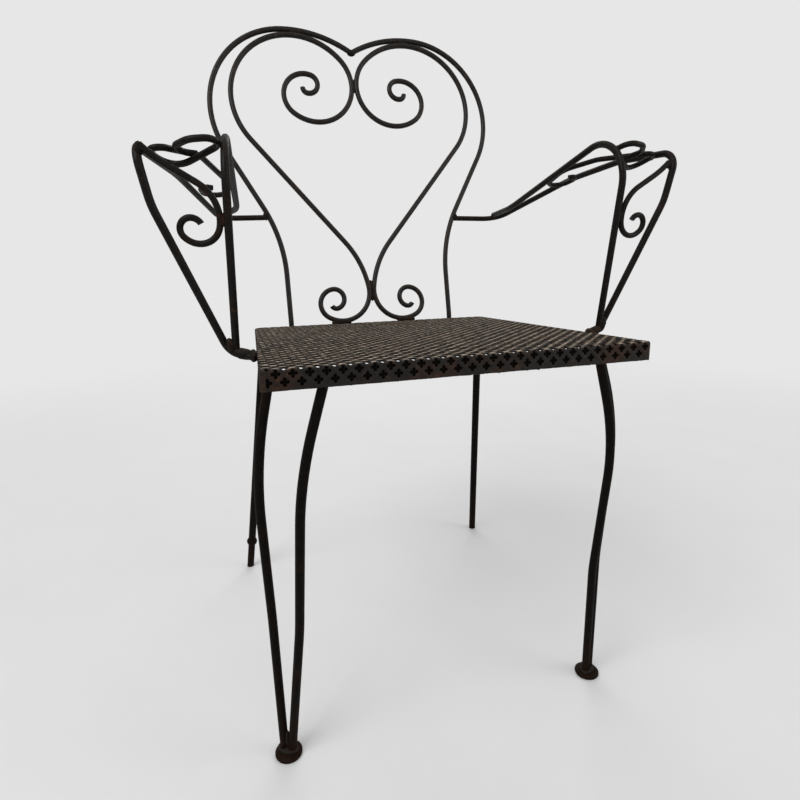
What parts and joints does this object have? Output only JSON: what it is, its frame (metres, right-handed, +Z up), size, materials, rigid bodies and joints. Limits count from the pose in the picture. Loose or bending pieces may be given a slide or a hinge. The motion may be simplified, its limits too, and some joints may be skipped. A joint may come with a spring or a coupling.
{
  "type": "garden armchair",
  "caption": "Garden armchair of bent iron rod with a heart-shaped scroll back, scrolled open arms and a square perforated sheet seat.",
  "frame": {"origin": "on the floor, below the middle of the chair's bounding box", "axes": "+Z up, the sitter faces -Y, +X is on the right of a viewer who faces the seat from the front"},
  "size_m": [0.5635, 0.4792, 0.8688],
  "materials": {
    "frame_rod": "dark brown-black paint worn semi-matt, with fine rust on edges and welds",
    "leg_rod": "dark brown-black paint worn semi-matt, with more rust towards the floor",
    "seat_sheet": "worn paint over perforated sheet, dull and dusty on top and rusty on its folded sides",
    "foot_disc": "rusted dark metal, matt"
  },
  "bodies": {
    "root": {"seat_pan": "seat_sheet", "seat_bar_frame": "frame_rod", "back_frame_right": "frame_rod", "back_frame_left": "frame_rod", "heart_scroll_right": "frame_rod", "heart_scroll_left": "frame_rod", "arm_outer_rod_right": "frame_rod", "arm_outer_rod_left": "frame_rod", "arm_inner_rod_right": "frame_rod", "arm_inner_rod_left": "frame_rod", "arm_top_scroll_right": "frame_rod", "arm_top_scroll_left": "frame_rod", "arm_front_scroll_right": "frame_rod", "arm_front_scroll_left": "frame_rod", "front_leg_side_rod_right": "leg_rod", "front_leg_side_rod_left": "leg_rod", "front_leg_front_rod_right": "leg_rod", "front_leg_front_rod_left": "leg_rod", "front_foot_right": "foot_disc", "front_foot_left": "foot_disc", "rear_leg_right": "leg_rod", "rear_leg_left": "leg_rod", "rear_leg_collar_left": "foot_disc", "rear_leg_stub_left": "leg_rod"}
  },
  "joints": []
}
